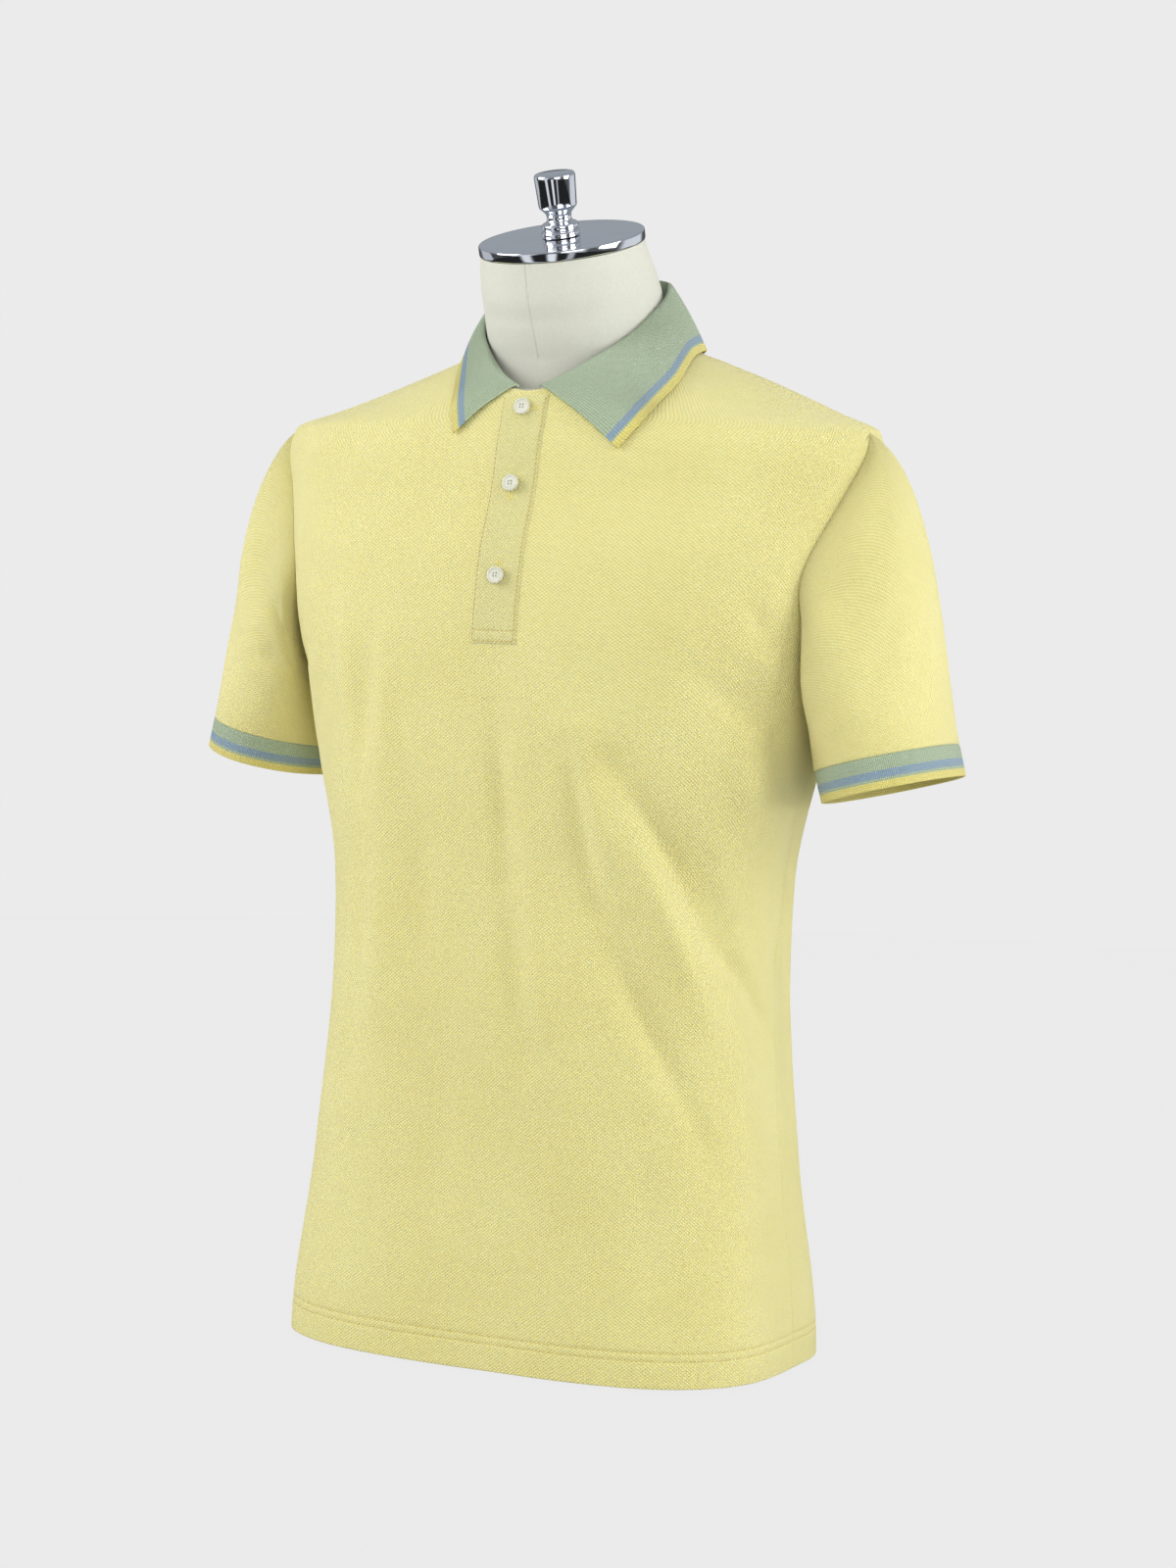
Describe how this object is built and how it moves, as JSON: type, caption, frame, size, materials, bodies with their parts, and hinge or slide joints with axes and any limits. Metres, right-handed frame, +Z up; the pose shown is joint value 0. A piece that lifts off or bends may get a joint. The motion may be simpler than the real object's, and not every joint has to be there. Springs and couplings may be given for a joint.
{
  "type": "polo shirt on dress form",
  "caption": "Short-sleeved polo shirt with ribbed collar and cuffs, buttoned placket and straight hem, on a limbless torso form with a metal neck cap.",
  "frame": {"origin": "middle of the form's flat base, 3 mm below the hem", "axes": "+Z up along the torso, -Y towards the front of the garment, +X towards the wearer's left"},
  "size_m": [0.5834, 0.2429, 0.8331],
  "materials": {
    "pique_knit": "soft pale yellow cotton pique knit",
    "rib_knit": "sage green flat-knit rib with blue and yellow edge stripes",
    "button": "pearly white",
    "canvas": "cream cotton canvas over the form",
    "chrome": "polished"
  },
  "bodies": {
    "root": {"front": "pique_knit", "back": "pique_knit", "sleeve_left": "pique_knit", "sleeve_right": "pique_knit", "cuff_left": "rib_knit", "cuff_right": "rib_knit", "collar": "rib_knit", "placket": "pique_knit", "button_1": "button", "button_2": "button", "button_3": "button", "form_body": "canvas", "form_neck_cap": "chrome", "form_finial": "chrome"}
  },
  "joints": []
}
